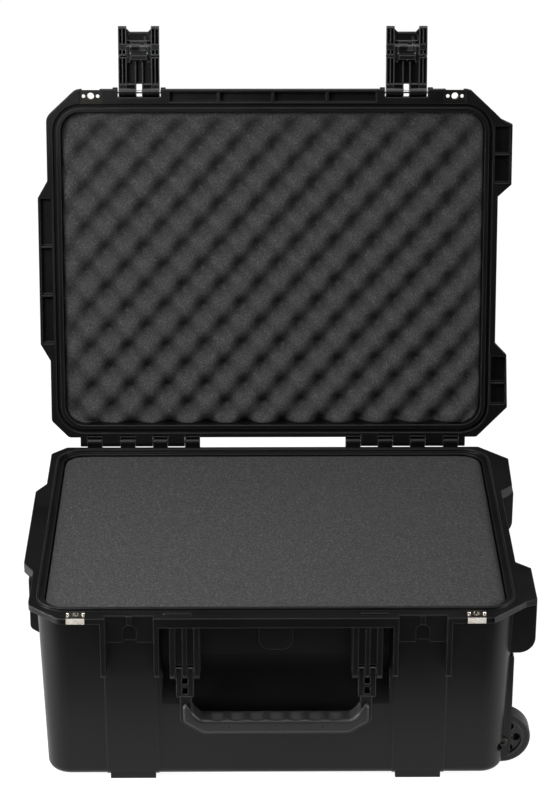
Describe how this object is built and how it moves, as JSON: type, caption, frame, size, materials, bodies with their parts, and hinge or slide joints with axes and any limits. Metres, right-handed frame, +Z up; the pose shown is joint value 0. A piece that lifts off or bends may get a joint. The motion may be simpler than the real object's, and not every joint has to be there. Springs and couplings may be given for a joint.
{
  "type": "wheeled hard case",
  "caption": "Wheeled waterproof hard case, lid open on its stop, with foam, over-centre latches, drop handles and telescoping pull handle.",
  "frame": {"origin": "on the floor under the middle of the base, in the plane of the runners", "axes": "+X to the right seen from the front, -Y to the front where the latches close, +Z up"},
  "size_m": [0.5845, 0.5795, 0.7389],
  "materials": {
    "shell_polymer": "fine spark-eroded texture",
    "latch_nylon": "satin moulded",
    "handle_nylon": "satin moulded",
    "grip_rubber": "soft overmould",
    "base_foam": "open-cell foam",
    "lid_foam": "convoluted open-cell foam",
    "gasket_rubber": "moulded",
    "tyre_rubber": "moulded",
    "stainless": "brushed",
    "steel_pin": "ground",
    "dark_steel": "blackened",
    "anodised_tube": "black anodised",
    "acetal": "turned",
    "membrane": "porous film"
  },
  "bodies": {
    "base": {"base_shell": "shell_polymer", "base_foam_bottom": "base_foam", "base_foam_middle": "base_foam", "base_foam_top": "base_foam", "valve_body": "handle_nylon", "valve_cap": "handle_nylon", "valve_seal": "gasket_rubber", "valve_nut": "handle_nylon", "valve_membrane": "membrane", "base_padlock_clip_left": "stainless", "base_padlock_clip_right": "stainless", "hinge_pin_left": "steel_pin", "hinge_pin_right": "steel_pin", "front_handle_pins": "steel_pin", "side_handle_pins": "steel_pin", "axle_bolt_front": "dark_steel", "axle_bolt_rear": "dark_steel", "pull_outer_tubes": "anodised_tube", "pull_straps": "handle_nylon", "pull_strap_screws": "steel_pin"},
    "lid": {"lid_shell": "shell_polymer", "lid_gasket": "gasket_rubber", "lid_foam": "lid_foam", "lid_padlock_plate_left": "dark_steel", "lid_padlock_plate_right": "dark_steel", "latch_pin_left": "steel_pin", "latch_pin_right": "steel_pin"},
    "latch_left": {"latch_body_left": "latch_nylon", "trigger_pin_left": "steel_pin", "trigger_spring_left": "steel_pin"},
    "latch_right": {"latch_body_right": "latch_nylon", "trigger_pin_right": "steel_pin", "trigger_spring_right": "steel_pin"},
    "trigger_left": {"latch_trigger_left": "latch_nylon"},
    "trigger_right": {"latch_trigger_right": "latch_nylon"},
    "front_handle": {"front_handle_frame": "handle_nylon", "front_handle_grip": "grip_rubber"},
    "side_handle": {"side_handle_frame": "handle_nylon", "side_handle_grip": "grip_rubber"},
    "wheel_front": {"wheel_tyre_front": "tyre_rubber", "wheel_hub_front": "handle_nylon", "wheel_bush_front": "acetal"},
    "wheel_rear": {"wheel_tyre_rear": "tyre_rubber", "wheel_hub_rear": "handle_nylon", "wheel_bush_rear": "acetal"},
    "pull_lower": {"pull_stage_1": "anodised_tube"},
    "pull_middle": {"pull_stage_2": "anodised_tube"},
    "pull_upper": {"pull_stage_3": "anodised_tube", "pull_grip": "grip_rubber", "pull_button_spring": "steel_pin"},
    "pull_release": {"pull_button": "handle_nylon"}
  },
  "joints": [
    {"name": "lid_hinge", "type": "hinge", "parent": "base", "child": "lid", "pos_m": [0, 0.21975, 0.2296], "axis": [1, 0, 0], "range_deg": [0, 101.6]},
    {"name": "latch_left", "type": "hinge", "parent": "lid", "child": "latch_left", "pos_m": [-0.1634, 0.30833, 0.6611], "axis": [1, 0, 0], "range_deg": [0, 90]},
    {"name": "trigger_left", "type": "hinge", "parent": "latch_left", "child": "trigger_left", "pos_m": [-0.1634, 0.32222, 0.71389], "axis": [-1, 0, 0], "range_deg": [0, 10], "stiffness_Nm_per_rad": 0.3, "springref_deg": -5.73, "deforming": ["trigger_spring_left"]},
    {"name": "latch_right", "type": "hinge", "parent": "lid", "child": "latch_right", "pos_m": [0.1634, 0.30833, 0.6611], "axis": [1, 0, 0], "range_deg": [0, 90]},
    {"name": "trigger_right", "type": "hinge", "parent": "latch_right", "child": "trigger_right", "pos_m": [0.1634, 0.32222, 0.71389], "axis": [-1, 0, 0], "range_deg": [0, 10], "stiffness_Nm_per_rad": 0.3, "springref_deg": -5.73, "deforming": ["trigger_spring_right"]},
    {"name": "front_handle_swing", "type": "hinge", "parent": "base", "child": "front_handle", "pos_m": [0, -0.216, 0.154], "axis": [-1, 0, 0], "range_deg": [0, 100]},
    {"name": "side_handle_swing", "type": "hinge", "parent": "base", "child": "side_handle", "pos_m": [-0.277, 0, 0.197], "axis": [0, 1, 0], "range_deg": [0, 90]},
    {"name": "wheel_front_spin", "type": "hinge", "parent": "base", "child": "wheel_front", "pos_m": [0.262, -0.1585, 0.034], "axis": [0, 1, 0], "continuous": true},
    {"name": "wheel_rear_spin", "type": "hinge", "parent": "base", "child": "wheel_rear", "pos_m": [0.262, 0.1585, 0.034], "axis": [0, 1, 0], "continuous": true},
    {"name": "pull_lower_slide", "type": "slide", "parent": "base", "child": "pull_lower", "axis": [0.0663, 0, 0.9978], "range_m": [0, 0.1]},
    {"name": "pull_middle_slide", "type": "slide", "parent": "pull_lower", "child": "pull_middle", "axis": [0.0663, 0, 0.9978], "range_m": [0, 0.1]},
    {"name": "pull_upper_slide", "type": "slide", "parent": "pull_middle", "child": "pull_upper", "axis": [0.0663, 0, 0.9978], "range_m": [0, 0.1]},
    {"name": "pull_release_press", "type": "slide", "parent": "pull_upper", "child": "pull_release", "axis": [-0.0663, 0, -0.9978], "range_m": [0, 0.0025], "stiffness_N_per_m": 400, "springref_m": -0.0005, "deforming": ["pull_button_spring"]}
  ]
}
